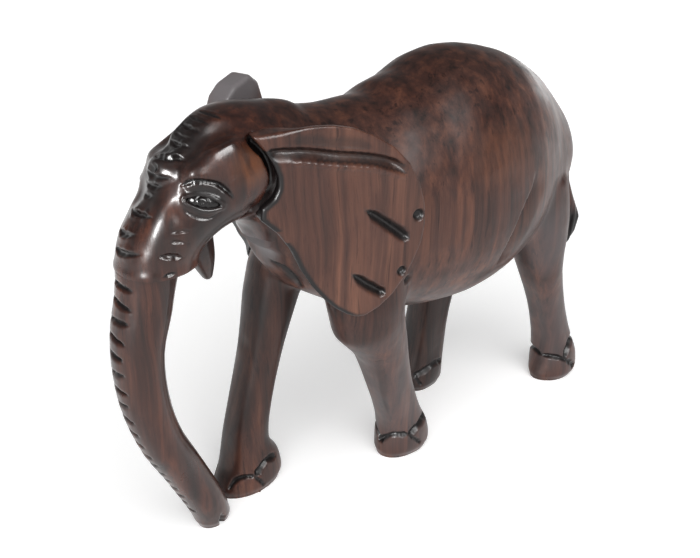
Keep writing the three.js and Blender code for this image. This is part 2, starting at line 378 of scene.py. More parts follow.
def square_legs(clay):
    """Gives the legs four soft faces, as they were left by the knife, and rounds the edges of the soles."""
    for node in LEG_NODES:
        axis = leg_axis(node)
        low, high = (np.array(c) / TO_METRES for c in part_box(node))
        inside = (clay.co[:, 2] < 74) & (clay.co[:, 0] > low[0] - 2) & (clay.co[:, 0] < high[0] + 2)
        inside &= np.sign(clay.co[:, 1]) == np.sign(axis[:, 1].mean())
        which = np.flatnonzero(inside)
        p = clay.co[which]
        cx = np.interp(p[:, 2], axis[:, 2], axis[:, 0])
        cy = np.interp(p[:, 2], axis[:, 2], axis[:, 1])
        turn = np.arctan2(p[:, 1] - cy, p[:, 0] - cx)
        radius = np.hypot(p[:, 0] - cx, p[:, 1] - cy)
        amount = 0.045 * ease((58 - p[:, 2]) / 22) * ease((p[:, 2] - 6) / 14) * ease((20 - radius) / 5)
        sole = 1.1 * ease((3.6 - p[:, 2]) / 3.6) ** 1.5 / np.maximum(radius, 4)
        share = 1 - amount * (1 + np.cos(4 * turn)) - sole
        clay.co[which, 0] = cx + (p[:, 0] - cx) * share
        clay.co[which, 1] = cy + (p[:, 1] - cy) * share
    clay.settle()


BELLY_EDGE = [(39, 32, 110), (37, 32.7, 104), (32, 33.5, 98), (28.5, 33.2, 91), (26, 31.8, 84), (25, 28, 76)]
CHEST_FOLD = [(-57.4, -2.8, 95.7), (-55.6, -7.8, 93.5), (-51.0, -8.8, 88.1), (-46.2, -6.6, 81.9)]


def shape_body(clay):
    """The large folds: belly over thigh, shoulder, chest and the line of the back."""
    for side, path in both_sides(BELLY_EDGE):
        widths = for_side(side, (11.0, 0.9))
        clay.carve(path, widths, 2.4, "slope", ends=(0.35, 0.1), stain=0.25, wobble=0.03, taper=0.2)
    clay.carve(CHEST_FOLD, 1.7, 1.1, "vee", ends=0.3, stain=0.95)
    around_neck = ease((-15 - clay.co[:, 0]) / 12) * ease((clay.co[:, 2] - 128) / 8)
    clay.soften(around_neck, 25)
    clay.soften_area((89, 0, 86), (15, math.inf, 15), 60)  # both hips
    clay.settle()
    for side in (-1, 1):
        # The thigh's front is drawn forwards and in, its outer face is flatter, and so is the rump above it.
        clay.dab((72.0, side * 24.0, 58.0), (13, 11, 36), 1.3, axis=(-0.76, -0.65 * side, 0))
        clay.dab((66.0, side * 25.0, 75.0), (12, 12, 26), -1.0)
        clay.dab((74.0, side * 14.0, 118.0), (16, 18, 22), -1.1)
        # A small hole in the flank, just behind the ear.
        clay.pit((-17.8, side * 26.3, 83.8), (-0.2, side, -0.4), 1.5, 1.2)
    clay.settle()


# ---- The head

FOREHEAD_CUTS = [  # each from the elephant's right to its left, with its half-width and depth
    ([(-74.9, 3.5, 146.6), (-75.4, -0.3, 146.4), (-73.1, -6.5, 145.3)], 0.7, 0.6),
    ([(-78.3, 4.0, 145.2), (-78.6, -1.0, 145.2), (-77.2, -6.5, 144.2)], 0.6, 0.5),
    ([(-81.2, 4.5, 143.6), (-81.7, -1.0, 143.6), (-80.2, -7.4, 142.6)], 0.8, 0.9),
    ([(-84.4, 4.5, 141.8), (-84.8, -1.0, 142.0), (-83.0, -6.0, 141.8)], 0.6, 0.5),
    ([(-86.6, 4.8, 140.2), (-87.1, -1.0, 140.4), (-85.0, -6.5, 140.6)], 0.8, 0.9),
    ([(-90.0, 5.4, 136.8), (-90.5, -1.0, 137.3), (-87.4, -7.6, 138.4)], 1.3, 1.7),
    ([(-92.6, 5.0, 131.4), (-93.2, -1.0, 131.2), (-91.6, -7.0, 131.8)], 1.0, 1.1),
    ([(-94.2, 4.0, 128.6), (-94.7, -1.0, 128.5), (-93.4, -5.0, 129.6)], 0.8, 0.7),
    ([(-95.7, 3.0, 126.0), (-96.2, 0.0, 125.9), (-95.3, -3.0, 126.4)], 0.7, 0.6),
    ([(-98.2, 5.0, 121.2), (-99.2, 1.0, 120.9), (-97.5, -6.3, 121.2)], 0.9, 1.0),
    ([(-101.2, 5.6, 114.8), (-102.4, 1.0, 114.8), (-101.4, -3.2, 116.2)], 1.0, 1.0),
    ([(-103.2, 5.6, 110.6), (-104.8, 1.0, 110.2), (-102.8, -6.2, 111.8)], 1.0, 1.0),
]
CHEEK_CUTS = [
    ([(-96.3, 11.1, 117.8), (-93.0, 13.2, 118.2), (-89.5, 14.7, 117.7)], 0.6, 0.5),
    ([(-97.0, 11.3, 115.3), (-94.0, 12.8, 115.2), (-90.9, 13.7, 113.9)], 0.7, 0.6),
    ([(-99.9, 10.1, 111.3), (-96.0, 11.6, 111.0), (-92.2, 12.4, 109.6)], 1.2, 1.1),
]
TEMPLE_HOLLOW = [(-90.5, 8.8, 134.5), (-85.0, 9.8, 139.0), (-78.0, 10.3, 142.3), (-71.5, 10.5, 143.6)]
BROW_RIDGE = [
    (-90.0, 9.8, 131.0), (-87.6, 11.9, 132.8), (-84.0, 12.8, 135.6),
    (-79.6, 13.3, 138.2), (-74.0, 13.9, 139.6), (-68.9, 14.4, 140.2),
]
LID_CREASE = [
    (-91.2, 10.4, 129.9), (-89.0, 12.4, 130.9), (-86.5, 13.9, 131.3),
    (-82.3, 16.0, 130.1), (-79.3, 17.2, 127.2), (-77.6, 17.4, 123.9),
]
LOWER_CREASE = [
    (-92.4, 11.6, 125.2), (-89.8, 14.2, 122.3), (-85.6, 16.0, 120.8),
    (-82.4, 16.9, 121.8), (-80.6, 17.2, 123.6),
]
BROW_NICK = [(-92.6, -3.2, 134.4), (-92.2, -1.0, 133.0), (-91.2, 0.4, 132.2)]
LIP_CORNER = [(-99.4, -10.9, 105.2), (-97.4, -11.6, 105.4), (-95.0, -12.0, 105.6)]
EYE_CENTRE = (-86.1, 14.9, 125.3)
EYE_HALF = (5.3, 1.45)  # half the opening's length and height
EYE_DEPTH = 1.9
EAR_ROOT = [
    (-69.5, 13.6, 141.6), (-67.8, 15.4, 138.6), (-65.4, 16.6, 134.4), (-64.2, 17.2, 129.0),
    (-65.4, 17.0, 122.6), (-68.8, 16.2, 118.2), (-73.0, 13.6, 115.6),
]


def eye_frame(side):
    """An eye's own directions: along the lids to the rear, up, and out."""
    out = np.array([-0.40, side * 0.90, 0.14])
    out /= np.linalg.norm(out)
    along = np.array([0.88, side * 0.42, -0.27])
    along -= out * (along @ out)
    along /= np.linalg.norm(along)
    up = np.cross(along, out)
    return along, up * np.sign(up[2]), out


def eye_opening(clay, side):
    """Opens the lids round an eye, and raises them."""
    along, up, out = eye_frame(side)
    centre = np.array([EYE_CENTRE[0], side * EYE_CENTRE[1], EYE_CENTRE[2]])
    off = clay.co - centre
    a, b, o = off @ along, off @ up, off @ out
    here = (np.abs(a) < 9) & (np.abs(b) < 6) & (np.abs(o) < 5) & (clay.normal @ out > 0.2)
    a, b = a[here], b[here]
    reach = np.clip(1 - (a / EYE_HALF[0]) ** 2, 0, 1)
    upper, lower = EYE_HALF[1] * 1.05 * reach, -EYE_HALF[1] * 0.95 * reach
    beyond = np.maximum(np.abs(a) - EYE_HALF[0], 0)
    rise = np.hypot(np.maximum(np.maximum(b - upper, lower - b), 0), beyond)
    inside = (b < upper) & (b > lower) & (beyond == 0)
    depth = np.minimum(upper - b, b - lower)
    lid = 0.5 * np.exp(-((rise - 0.8) / 0.55) ** 2) * ease(1.5 - beyond)
    moved = np.where(inside, -EYE_DEPTH * ease(depth / 0.45), lid * ~inside)
    clay.co[here] += out * moved[:, None]
    dark = np.where(inside, 1.0, np.exp(-((rise / 0.5) ** 2)) * 0.9)
    clay.stain[here] = np.maximum(clay.stain[here], dark)


def shape_skull(clay):
    """The masses of the forehead, brows and cheeks."""
    clay.dab((-91.6, -1.2, 133.4), (5.5, 9.0, 4.6), 2.5)  # the bump between the brows
    clay.dab((-84.5, -0.8, 141.5), (9.0, 10.0, 6.0), -0.9)  # the hollow above it
    # The forehead falls away on the elephant's right.
    clay.dab((-88.5, 3.5, 138.5), (7.5, 10.0, 6.5), -1.5)
    clay.dab((-95.6, 6.0, 125.5), (5.0, 6.5, 7.0), -1.2)
    clay.dab((-82.0, 12.0, 139.0), (13.0, 7.0, 7.0), -1.6)
    for side, path in both_sides(TEMPLE_HOLLOW):
        clay.carve(path, 6.0, 1.7, "round", ends=0.3, stain=0.5, wobble=0.04, taper=0.3)
    clay.settle()
    for side, path in both_sides(BROW_RIDGE):
        clay.dab((-79.0, side * 9.5, 142.0), (14.0, 6.0, 6.0), -1.3)  # the crown's side
        widths = for_side(side, (6.5, 8.0))
        height = 2.1 if side < 0 else 0.6
        clay.carve(path, widths, -height, "round", ends=(0.2, 0.3), wobble=0.04, taper=0.2)
        clay.dab((-96.0, side * 7.4, 120.0), (8.0, 6.0, 11.0), 1.1 if side < 0 else -0.5)  # beside the nose
        clay.dab((-91.0, side * 12.0, 121.5), (6.0, 5.0, 7.0), -0.7)  # the cheek's front
        clay.dab((-86.5, side * 14.5, 129.0), (8.5, 6.0, 4.6), -1.3)  # over the upper lid
        clay.dab((-88.5, side * 13.5, 122.0), (7.0, 5.0, 4.0), -0.5)  # under the lower lid
        clay.dab((-74.0, side * 17.5, 129.0), (8.5, 6.0, 11.0), 0.4)  # the jaw's hinge
    clay.settle()


def carve_head(clay):
    """The eyes, the wrinkles and the groove round the ear's root."""
    shape_skull(clay)
    for side, path in both_sides(LID_CREASE):
        widths = for_side(side, (1.6, 0.7))
        clay.carve(path, widths, 1.5, "slope", ends=(0.2, 0.3), stain=1.0, wobble=0.06)
    for side, path in both_sides(LOWER_CREASE):
        clay.carve(path, 0.7, 0.6, "vee", ends=0.35, stain=0.9, wobble=0.05)
    for side in (-1, 1):
        eye_opening(clay, side)
    clay.settle()
    # The skin swells round each cut of the forehead before it is cut.
    for path, width, depth in FOREHEAD_CUTS:
        clay.carve(path, 2.8 * width, -0.35 * depth, "round", ends=0.3, stain=0)
    clay.settle()
    for path, width, depth in FOREHEAD_CUTS:
        longer = [(x, 1.25 * y, z) for x, y, z in path]
        clay.carve(longer, 1.45 * width, 1.35 * depth, "round", ends=0.4, stain=0.95, wobble=0.1, taper=0.85)
    for path, width, depth in CHEEK_CUTS:
        for side, cheek in both_sides(path):
            clay.carve(cheek, 1.2 * width, depth, "round", ends=0.4, stain=0.7, wobble=0.05, taper=0.9)
    clay.carve(BROW_NICK, 1.7, 1.5, "round", ends=0.3)
    # The forehead's cuts and the crown's edges are worn.
    clay.soften(clay.stain * (clay.co[:, 0] < -70) * (np.abs(clay.co[:, 1]) < 9), 3)
    for side in (-1, 1):
        clay.soften_area((-79.5, side * 8.0, 142.5), (9, 5, 6), 60)
    clay.settle()
    for side, path in both_sides(EAR_ROOT):
        widths = for_side(side, (3.4, 1.9))
        clay.carve(path, widths, 3.0, "flat", ends=(0.08, 0.15), stain=1.0, wobble=0.12, taper=0.35)
    clay.settle()
    # The lip over the trunk stands out a little, with a corner below the left cheek.
    rim = np.exp(-(((clay.co[:, 2] - MUZZLE_SEAM_Z - 0.6) / 1.6) ** 2))
    clay.push(0.45 * rim * (clay.normal[:, 2] > -0.6) * ease((-82 - clay.co[:, 0]) / 8))
    clay.carve(LIP_CORNER, 0.7, 0.9, "vee", ends=0.3)
    # Forehead, nose, eyes and the cheeks below the eyes are stained, the front of each cheek is darkened
    # with painted shade, and the temples are warm.
    clay.tint((-86, 0, 140), (21, 14, 17), stain=0.95)
    clay.tint((-95, 0, 126), (11, 11, 15), stain=0.75)
    for side in (-1, 1):
        clay.tint((-86.0, side * 15.5, 126.5), (12.0, 9.0, 8.0), stain=0.97)
        # Painted shade: the front of each cheek, which faces down, is darkened.
        clay.tint((-94.0, side * 12.0, 115.0), (10.0, 8.0, 11.0), stain=0.55)
        clay.tint((-84.0, side * 15.0, 117.0), (13.0, 9.0, 10.0), stain=0.75)
        clay.tint((-71.5, side * 17.0, 133.5), (8.0, 7.0, 8.5), warm=0.85)


# ---- Cutting the skin into blocks


def block(clay, name, seams, centre=None, fine=False):
    """The part of the skin on one side of each seam, with open rims there, as a new clay.

    A seam is a point and the direction that is kept. The skin's own shading is kept along the seams, so that
    two blocks meet without a visible line. Fine splits every edge in two, for finer carving.
    """
    clay.finish()
    source = clay.mesh
    shade = source.attributes.get("shade") or source.attributes.new("shade", "FLOAT_VECTOR", "POINT")
    shade.data.foreach_set("vector", clay.normal.astype(np.float32).ravel())
    bm = bmesh.new()
    bm.from_mesh(source)
    for point, direction in seams:
        everything = bm.verts[:] + bm.edges[:] + bm.faces[:]
        bmesh.ops.bisect_plane(
            bm, geom=everything, dist=1e-4, plane_co=point, plane_no=direction, clear_inner=True
        )
    mesh = bpy.data.meshes.new(name)
    bm.to_mesh(mesh)
    bm.free()
    keep_body(mesh, centre)
    if fine:
        bm = bmesh.new()
        bm.from_mesh(mesh)
        bmesh.ops.subdivide_edges(bm, edges=bm.edges[:], cuts=1, use_grid_fill=True)
        inner = [v for v in bm.verts if not v.is_boundary]
        for _ in range(2):
            bmesh.ops.smooth_vert(
                bm, verts=inner, factor=0.5, use_axis_x=True, use_axis_y=True, use_axis_z=True
            )
        bm.to_mesh(mesh)
        bm.free()
    made = Clay(mesh)
    for layer in ("stain", "warm", "painted_sheen"):
        values = np.empty(made.count, np.float32)
        mesh.attributes[layer].data.foreach_get("value", values)
        setattr(made, layer, values.astype(float))
    return made


def close(clay):
    """Fills a block's open rims with flat caps, and sets its shading."""
    clay.finish()
    normals = clay.normal.copy()
    mesh = clay.mesh
    bm = bmesh.new()
    bm.from_mesh(mesh)
    shade = bm.verts.layers.float_vector.get("shade")
    if shade is not None:
        for v in bm.verts:
            if v.is_boundary:
                normals[v.index] = v[shade]
    rim = [e for e in bm.edges if e.is_boundary]
    if rim:
        caps = bmesh.ops.holes_fill(bm, edges=rim, sides=0)["faces"]
        bmesh.ops.triangulate(bm, faces=caps)
    bm.to_mesh(mesh)
    bm.free()
    if "shade" in mesh.attributes:
        mesh.attributes.remove(mesh.attributes["shade"])
    mesh.transform(Matrix.Scale(TO_METRES, 4))
    mesh.polygons.foreach_set("use_smooth", np.ones(len(mesh.polygons), bool))
    length = np.linalg.norm(normals, axis=1)
    normals[length < 1e-6] = (0, 0, 1)
    normals /= np.maximum(length, 1e-6)[:, None]
    mesh.normals_split_custom_set_from_vertices(normals.tolist())
    return mesh


def piece(name, clay, node, slot):
    """A finished block as an object that stands for its CAD node."""
    mesh = close(clay)
    mesh.materials.clear()
    mesh.materials.append(WOODS[slot])
    obj = in_scene(name, mesh)
    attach(obj, "root")
    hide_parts(node)


# ---- Legs and feet

NAILS = {  # the cuts above the toenails, each with its half-width and depth
    "front_left_leg": [
        ([(-14.4, -9.8, 5.9), (-14.0, -14.0, 9.8), (-12.2, -17.2, 11.9), (-7.6, -20.1, 11.3)], 1.5, 1.4),
        ([(-8.4, -20.2, 10.6), (-3.6, -20.2, 12.8), (1.4, -18.9, 14.2), (5.2, -16.2, 14.6)], 2.2, 1.7),
        ([(-7.4, -20.3, 10.4), (-4.2, -20.6, 7.4), (-1.6, -20.3, 4.3)], 1.0, 1.0),
    ],
    "front_right_leg": [
        ([(-73.4, 5.4, 3.6), (-70.5, 4.4, 7.4), (-66.6, 2.3, 8.4), (-63.9, 1.3, 7.2)], 1.2, 1.2),
        ([(-64.6, 1.5, 7.4), (-62.4, 0.9, 4.8), (-60.8, 0.5, 1.9)], 1.0, 1.0),
        ([(-64.4, 1.4, 7.2), (-60.9, 1.5, 10.5), (-57.7, 2.1, 11.7), (-52.8, 4.0, 10.2)], 1.7, 1.4),
    ],
    "rear_left_leg": [
        ([(75.5, -16.0, 11.6), (76.7, -20.4, 12.5), (79.5, -23.8, 11.9), (83.4, -25.4, 9.6)], 1.4, 1.3),
        ([(80.8, -24.6, 11.2), (84.0, -24.2, 15.4), (88.0, -21.6, 18.0), (91.6, -16.0, 17.6)], 2.0, 1.6),
        ([(82.4, -25.0, 10.2), (86.0, -24.8, 7.2), (88.6, -23.6, 4.0)], 1.6, 1.3),
    ],
    "rear_right_leg": [
        (
            [(24.6, 12.4, 8.2), (28.3, 8.6, 10.6), (32.5, 7.5, 12.5), (35.9, 7.9, 12.5), (40.2, 10.2, 11.0)],
            1.9,
            1.5,
        ),
        ([(25.0, 11.2, 8.8), (26.0, 9.9, 6.5), (28.2, 9.0, 3.0)], 1.1, 1.0),
    ],
}
FOOT_MIDDLE = {  # each foot's middle in Y, across which its cuts are mirrored
    "front_left_leg": -11.5,
    "front_right_leg": 9.8,
    "rear_left_leg": -16.4,
    "rear_right_leg": 17.0,
}
SHIN_EDGE = [(-26.0, -22.8, 53.0), (-22.6, -20.4, 42.0), (-18.2, -17.6, 30.4), (-15.0, -17.2, 20.0)]


def carve_leg(clay, node):
    """The nails on both sides of a foot, and the dark edge down the front left shin."""
    middle = FOOT_MIDDLE[node]
    for path, width, depth in NAILS[node]:
        for mirror in (False, True):
            line = [(x, 2 * middle - y if mirror else y, z) for x, y, z in path]
            clay.carve(line, width, depth, "vee", ends=(0.16, 0.16), wobble=0.12, taper=0.6)
    if node == "front_left_leg":
        clay.carve(SHIN_EDGE, 1.8, 0.3, "round", ends=(0.02, 0.5), stain=0.35)
    clay.settle()


# ---- Ears

LONG_CUT = [
    (-67.0, 19.4, 136.6), (-61.0, 21.0, 136.2), (-55.8, 22.4, 135.6), (-46.8, 25.1, 133.4),
    (-40.0, 27.2, 132.0), (-34.2, 28.9, 130.6), (-28.4, 30.7, 128.2), (-23.6, 32.0, 125.4),
]
EAR_GOUGES = [
    ([(-38.8, 27.5, 115.2), (-30.8, 30.0, 108.6), (-22.4, 32.5, 101.2)], 2.4, 2.3),
    ([(-42.6, 26.3, 94.0), (-36.6, 28.3, 88.2), (-30.2, 30.2, 83.4)], 2.2, 2.2),
]
EAR_DOTS = [((-19.9, 33.2, 109.5), 2.0), ((-25.1, 31.6, 90.9), 1.7)]  # each with its radius
EAR_THICKNESS = 8.0
EAR_RIM = {-1: 2.2, 1: 3.8}  # how thick the free edge is, on the elephant's left and right
EAR_FLARE = 0.3  # how far it stands out, for each millimetre of its length


def rim_distance(clay, along, out):
    """How far each of an ear's points is from the ear's outline, seen square to its face."""
    flat = np.stack([clay.co @ along, clay.co[:, 2]], axis=1)
    edge = flat[np.abs(clay.normal @ out) < 0.4]
    tree = kdtree.KDTree(len(edge))
    for i, (a, b) in enumerate(edge):
        tree.insert((a, b, 0), i)
    tree.balance()
    return np.array([tree.find((a, b, 0))[2] for a, b in flat])


def shape_ear(clay, side, out, along):
    """Thins an ear's free edge from behind, and blackens the edges that lie against the neck and cheek, the
    lower front with painted shadow as well as stain.
    """
    rim = rim_distance(clay, along, out)
    deep = (clay.co @ out).max() - clay.co @ out
    kept = np.minimum(1, (EAR_RIM[side] + 0.6 * rim) / EAR_THICKNESS)
    free = ease((clay.co[:, 0] + 64) / 10)
    if side > 0:
        # The right ear keeps its thick top, which is given a painted pale sheen, and its lower front stands
        # further back.
        free *= ease((133 - clay.co[:, 2]) / 12)
        clay.co[:, 0] += 4.0 * ease((110 - clay.co[:, 2]) / 14) * ease((-45 - clay.co[:, 0]) / 8)
        clay.tint((-54, 14.5, 146), (20, 20, 16), painted_sheen=0.95)
    clay.co += out * (deep * (1 - kept) * free)[:, None]
    # The lower front edge is blackened, partly as stain and partly as painted shadow of the gap where it
    # stands off the body, and on the left ear the edge along the cheek is stained too.
    front = 1 - ease((clay.co[:, 0] + 44) / 10) * ease((clay.co[:, 2] - 70) / 10)
    lower = front * (clay.co[:, 2] < 108)
    edge = np.abs(clay.normal @ out) < 0.75
    clay.stain = np.maximum(clay.stain, lower * edge * ease((2.6 - deep) / 1.0))
    clay.stain = np.maximum(clay.stain, lower * (1 - ease((rim - 0.6) / 0.7)))
    if side < 0:
        root = (clay.co[:, 0] < -58) & (clay.co[:, 2] >= 112) & (clay.co[:, 2] < 137)
        clay.stain = np.maximum(clay.stain, root * (1 - ease((rim - 1.0) / 0.9)))
    clay.settle()
    clay.dab((-46, side * 26, 106), (34, 14, 34), 0.7)  # the ear's face is a little full
    clay.settle()


def carve_ear(clay, side):
    """The long cut below the ear's upper edge, two gouge cuts and two drilled dots."""

    def on(path):
        return [(x, side * y, z) for x, y, z in path]

    out = np.array([-EAR_FLARE, side, 0]) / math.hypot(1, EAR_FLARE)
    along = np.array([1, side * EAR_FLARE, 0]) / math.hypot(1, EAR_FLARE)
    shape_ear(clay, side, out, along)
    # The long cut is deepest under its upper edge and runs out to a raised lip.
    lip = [(x, y, z - 3.6) for x, y, z in LONG_CUT[1:]]
    clay.carve(on(lip), 1.1, -1.0, "round", ends=(0.05, 0.1), stain=0, wobble=0.05, taper=0.3)
    channel = for_side(side, (0.6, 3.3))
    clay.carve(on(LONG_CUT), channel, 2.8, "slope", ends=(0.05, 0.14), stain=0.6, wobble=0.04, taper=0.4)
    facet = [(x, y, z + 2.6) for x, y, z in LONG_CUT[1:6]]
    clay.carve(on(facet), for_side(side, (3.4, 1.2)), 0.7, "slope", ends=0.25, stain=0.45)
    clay.settle()
    clay.carve(on(LONG_CUT), 0.95, 0.8, "round", ends=(0.03, 0.15), stain=1.0, wobble=0.05)
    deepest = [(x, y, z - 1.8) for x, y, z in LONG_CUT[2:]]
    clay.carve(on(deepest), 0.7, 0.3, "round", ends=(0.3, 0.1), stain=0.85, wobble=0.05)
    beside_cut = np.zeros(clay.count)
    beside_cut[clay.near(on(LONG_CUT), 6.0)[0]] = 1
    clay.soften(beside_cut, 4)
    clay.settle()
    for path, width, depth in EAR_GOUGES:
        clay.carve(on(path), width, depth, "vee", ends=(0.3, 0.12), stain=1.0, wobble=0.05, taper=0.85)
    clay.settle()
    for (x, y, z), radius in EAR_DOTS:
        clay.pit((x, side * y, z), out, radius, 1.5)


# ---- Trunk, jaw, tail and eyes

NOTCH_COUNT = 19
NOTCH_DEPTH = 1.5
NOTCH_HALF_WIDTH = 1.15
NOTCH_PITCH = (5.4, 4.2)  # from each notch to the next, at the top and at the tip
AXIS_STEP = 0.5
TIP_MIDDLE = (-82.6, 0)
TAIL_AXIS_X = 107.0


def trunk_clay():
    """The trunk's skin, run on past the muzzle seam and the floor."""

    def past_seams(points):
        points[points[:, 2] > MUZZLE_SEAM_Z - 0.7, 2] += 3
        points[points[:, 2] < 0.6, 2] -= 3
        return points

    return Clay(skin_over("trunk_skin", [shell_of("trunk", 0.2, past_seams)], voxel=0.5, wear=20))


def carve_trunk(clay):
    """Cuts the row of notches down the front of the trunk, and its two-fingered tip."""
    centres = []
    for z in np.arange(2, 104, 4.0):
        ring = clay.co[np.abs(clay.co[:, 2] - z) < 1.5]
        centres.append([ring[:, 0].mean(), ring[:, 1].mean(), z])
    axis = curve_through(np.array(centres)[::-1], AXIS_STEP)
    away = ((clay.co[:, None, :] - axis[None, ::4, :]) ** 2).sum(2).argmin(1) * 4
    tangent = np.gradient(axis, axis=0)
    tangent /= np.linalg.norm(tangent, axis=1)[:, None]
    off = clay.co - axis[away]
    along = away * AXIS_STEP + (off * tangent[away]).sum(1)
    front = np.cross(tangent[away], (0, 1, 0))
    front *= np.where(front[:, :1] > 0, -1, 1)
    turn = np.degrees(np.arctan2(off[:, 1], (off * front).sum(1)))
    length = len(axis) * AXIS_STEP
    place = 3.5
    for i in range(NOTCH_COUNT):
        share = i / (NOTCH_COUNT - 1)
        pitch = NOTCH_PITCH[0] + (NOTCH_PITCH[1] - NOTCH_PITCH[0]) * share
        width = NOTCH_HALF_WIDTH * rng.uniform(0.9, 1.1)
        lean = rng.uniform(-0.02, 0.02)
        span = 36 + 6 * rng.uniform(-1, 1)
        u = np.abs(along - place - lean * turn) / (width * (1 - 0.5 * (turn / span) ** 2).clip(0.15, 1))
        lens = ease((span - np.abs(turn)) / (0.5 * span))
        cut = (1 - np.clip(u, 0, 1)) * lens
        clay.co -= clay.normal * (NOTCH_DEPTH * cut)[:, None]
        clay.stain = np.maximum(clay.stain, (1 - ease((u - 0.5) / 0.5)) * ease(lens * 2))
        place += pitch * rng.uniform(0.95, 1.05)
        if place > length - 4:
            break
    clay.settle()
    # The tip is parted into a front and a rear finger, and its edges are rounded.
    for side, path in both_sides([(-82.6, 4.6, -1.0), (-83.0, 5.2, 3.0), (-83.8, 5.8, 7.0)]):
        clay.carve(path, 1.6, 1.9, "vee", ends=(0.02, 0.6), stain=0.8)
    clay.push(0.45 * ease((clay.co[:, 2] - 25) / 15) * ease((97 - clay.co[:, 2]) / 12))
    off = clay.co[:, :2] - TIP_MIDDLE
    radius = np.maximum(np.linalg.norm(off, axis=1), 2)
    sole = ease((3.4 - clay.co[:, 2]) / 3.4) ** 1.5
    clay.co[:, :2] -= off / radius[:, None] * (0.8 * sole)[:, None]
    clay.settle()


def tail_clay():
    """The tail, with its tuft combed into locks and blackened with painted shade."""
    clay = Clay(skin_over("tail_skin", [shell_of("tail", 0.2)], voxel=0.45, wear=12))
    low = clay.co[:, 2].min()
    tuft = ease((low + 22 - clay.co[:, 2]) / 8)
    turn = np.arctan2(clay.co[:, 1], clay.co[:, 0] - TAIL_AXIS_X)
    clay.push(-0.35 * tuft * (0.5 + 0.5 * np.cos(9 * turn)))
    # Painted shade: the tuft is blackened.
    clay.stain = np.maximum(clay.stain, tuft)
    return clay


def jaw_clay():
    """The lower jaw, with its tip drawn down."""
    clay = Clay(skin_over("jaw_skin", [shell_of("lower_jaw", 0.15)], voxel=0.45, wear=10))
    clay.stain += 0.35
    tip = clay.co[:, 2].min()
    clay.co[:, 2] -= 1.2 * ease((tip + 7 - clay.co[:, 2]) / 7)
    clay.settle()
    return clay


def eye_clay(side):
    """An eyeball with its iris and pupil cut in."""
    node = "left_eye" if side < 0 else "right_eye"
    clay = Clay(skin_over(node + "_skin", [shell_of(node, 0.0)], voxel=0.22, wear=8))
    along, up, out = eye_frame(side)
    centre = (clay.co.min(0) + clay.co.max(0)) / 2
    off = clay.co - centre
    a, b = off @ along + 0.9, off @ up
    far = np.hypot(a, b)
    facing = clay.normal @ out > 0.2
    clay.co -= clay.normal * (0.16 * np.exp(-(((far - 1.75) / 0.28) ** 2)) * facing)[:, None]
    clay.co -= clay.normal * (0.3 * np.exp(-((far / 0.5) ** 2)) * facing)[:, None]
    clay.settle()
    return clay


# ---- Materials


def link_nodes(tree):
    """Short helpers that add a node, with its sockets' numbers and its settings, and that join sockets."""
    nodes, links = tree.nodes, tree.links

    def add(kind, numbers=None, **settings):
        node = nodes.new(kind)
        for key, value in settings.items():
            setattr(node, key, value)
        for key, value in (numbers or {}).items():
            node.inputs[key].default_value = value
        return node

    def join(source, target):
        links.new(source, target)

    return add, join


WARM_COLOUR = (0.130, 0.044, 0.017)
# The grey of the painted sheen, a painted reflection of the pale floor and room.
PAINTED_SHEEN_COLOUR = (0.165, 0.152, 0.157)
STAIN_COLOUR = (0.0065, 0.0045, 0.0045)


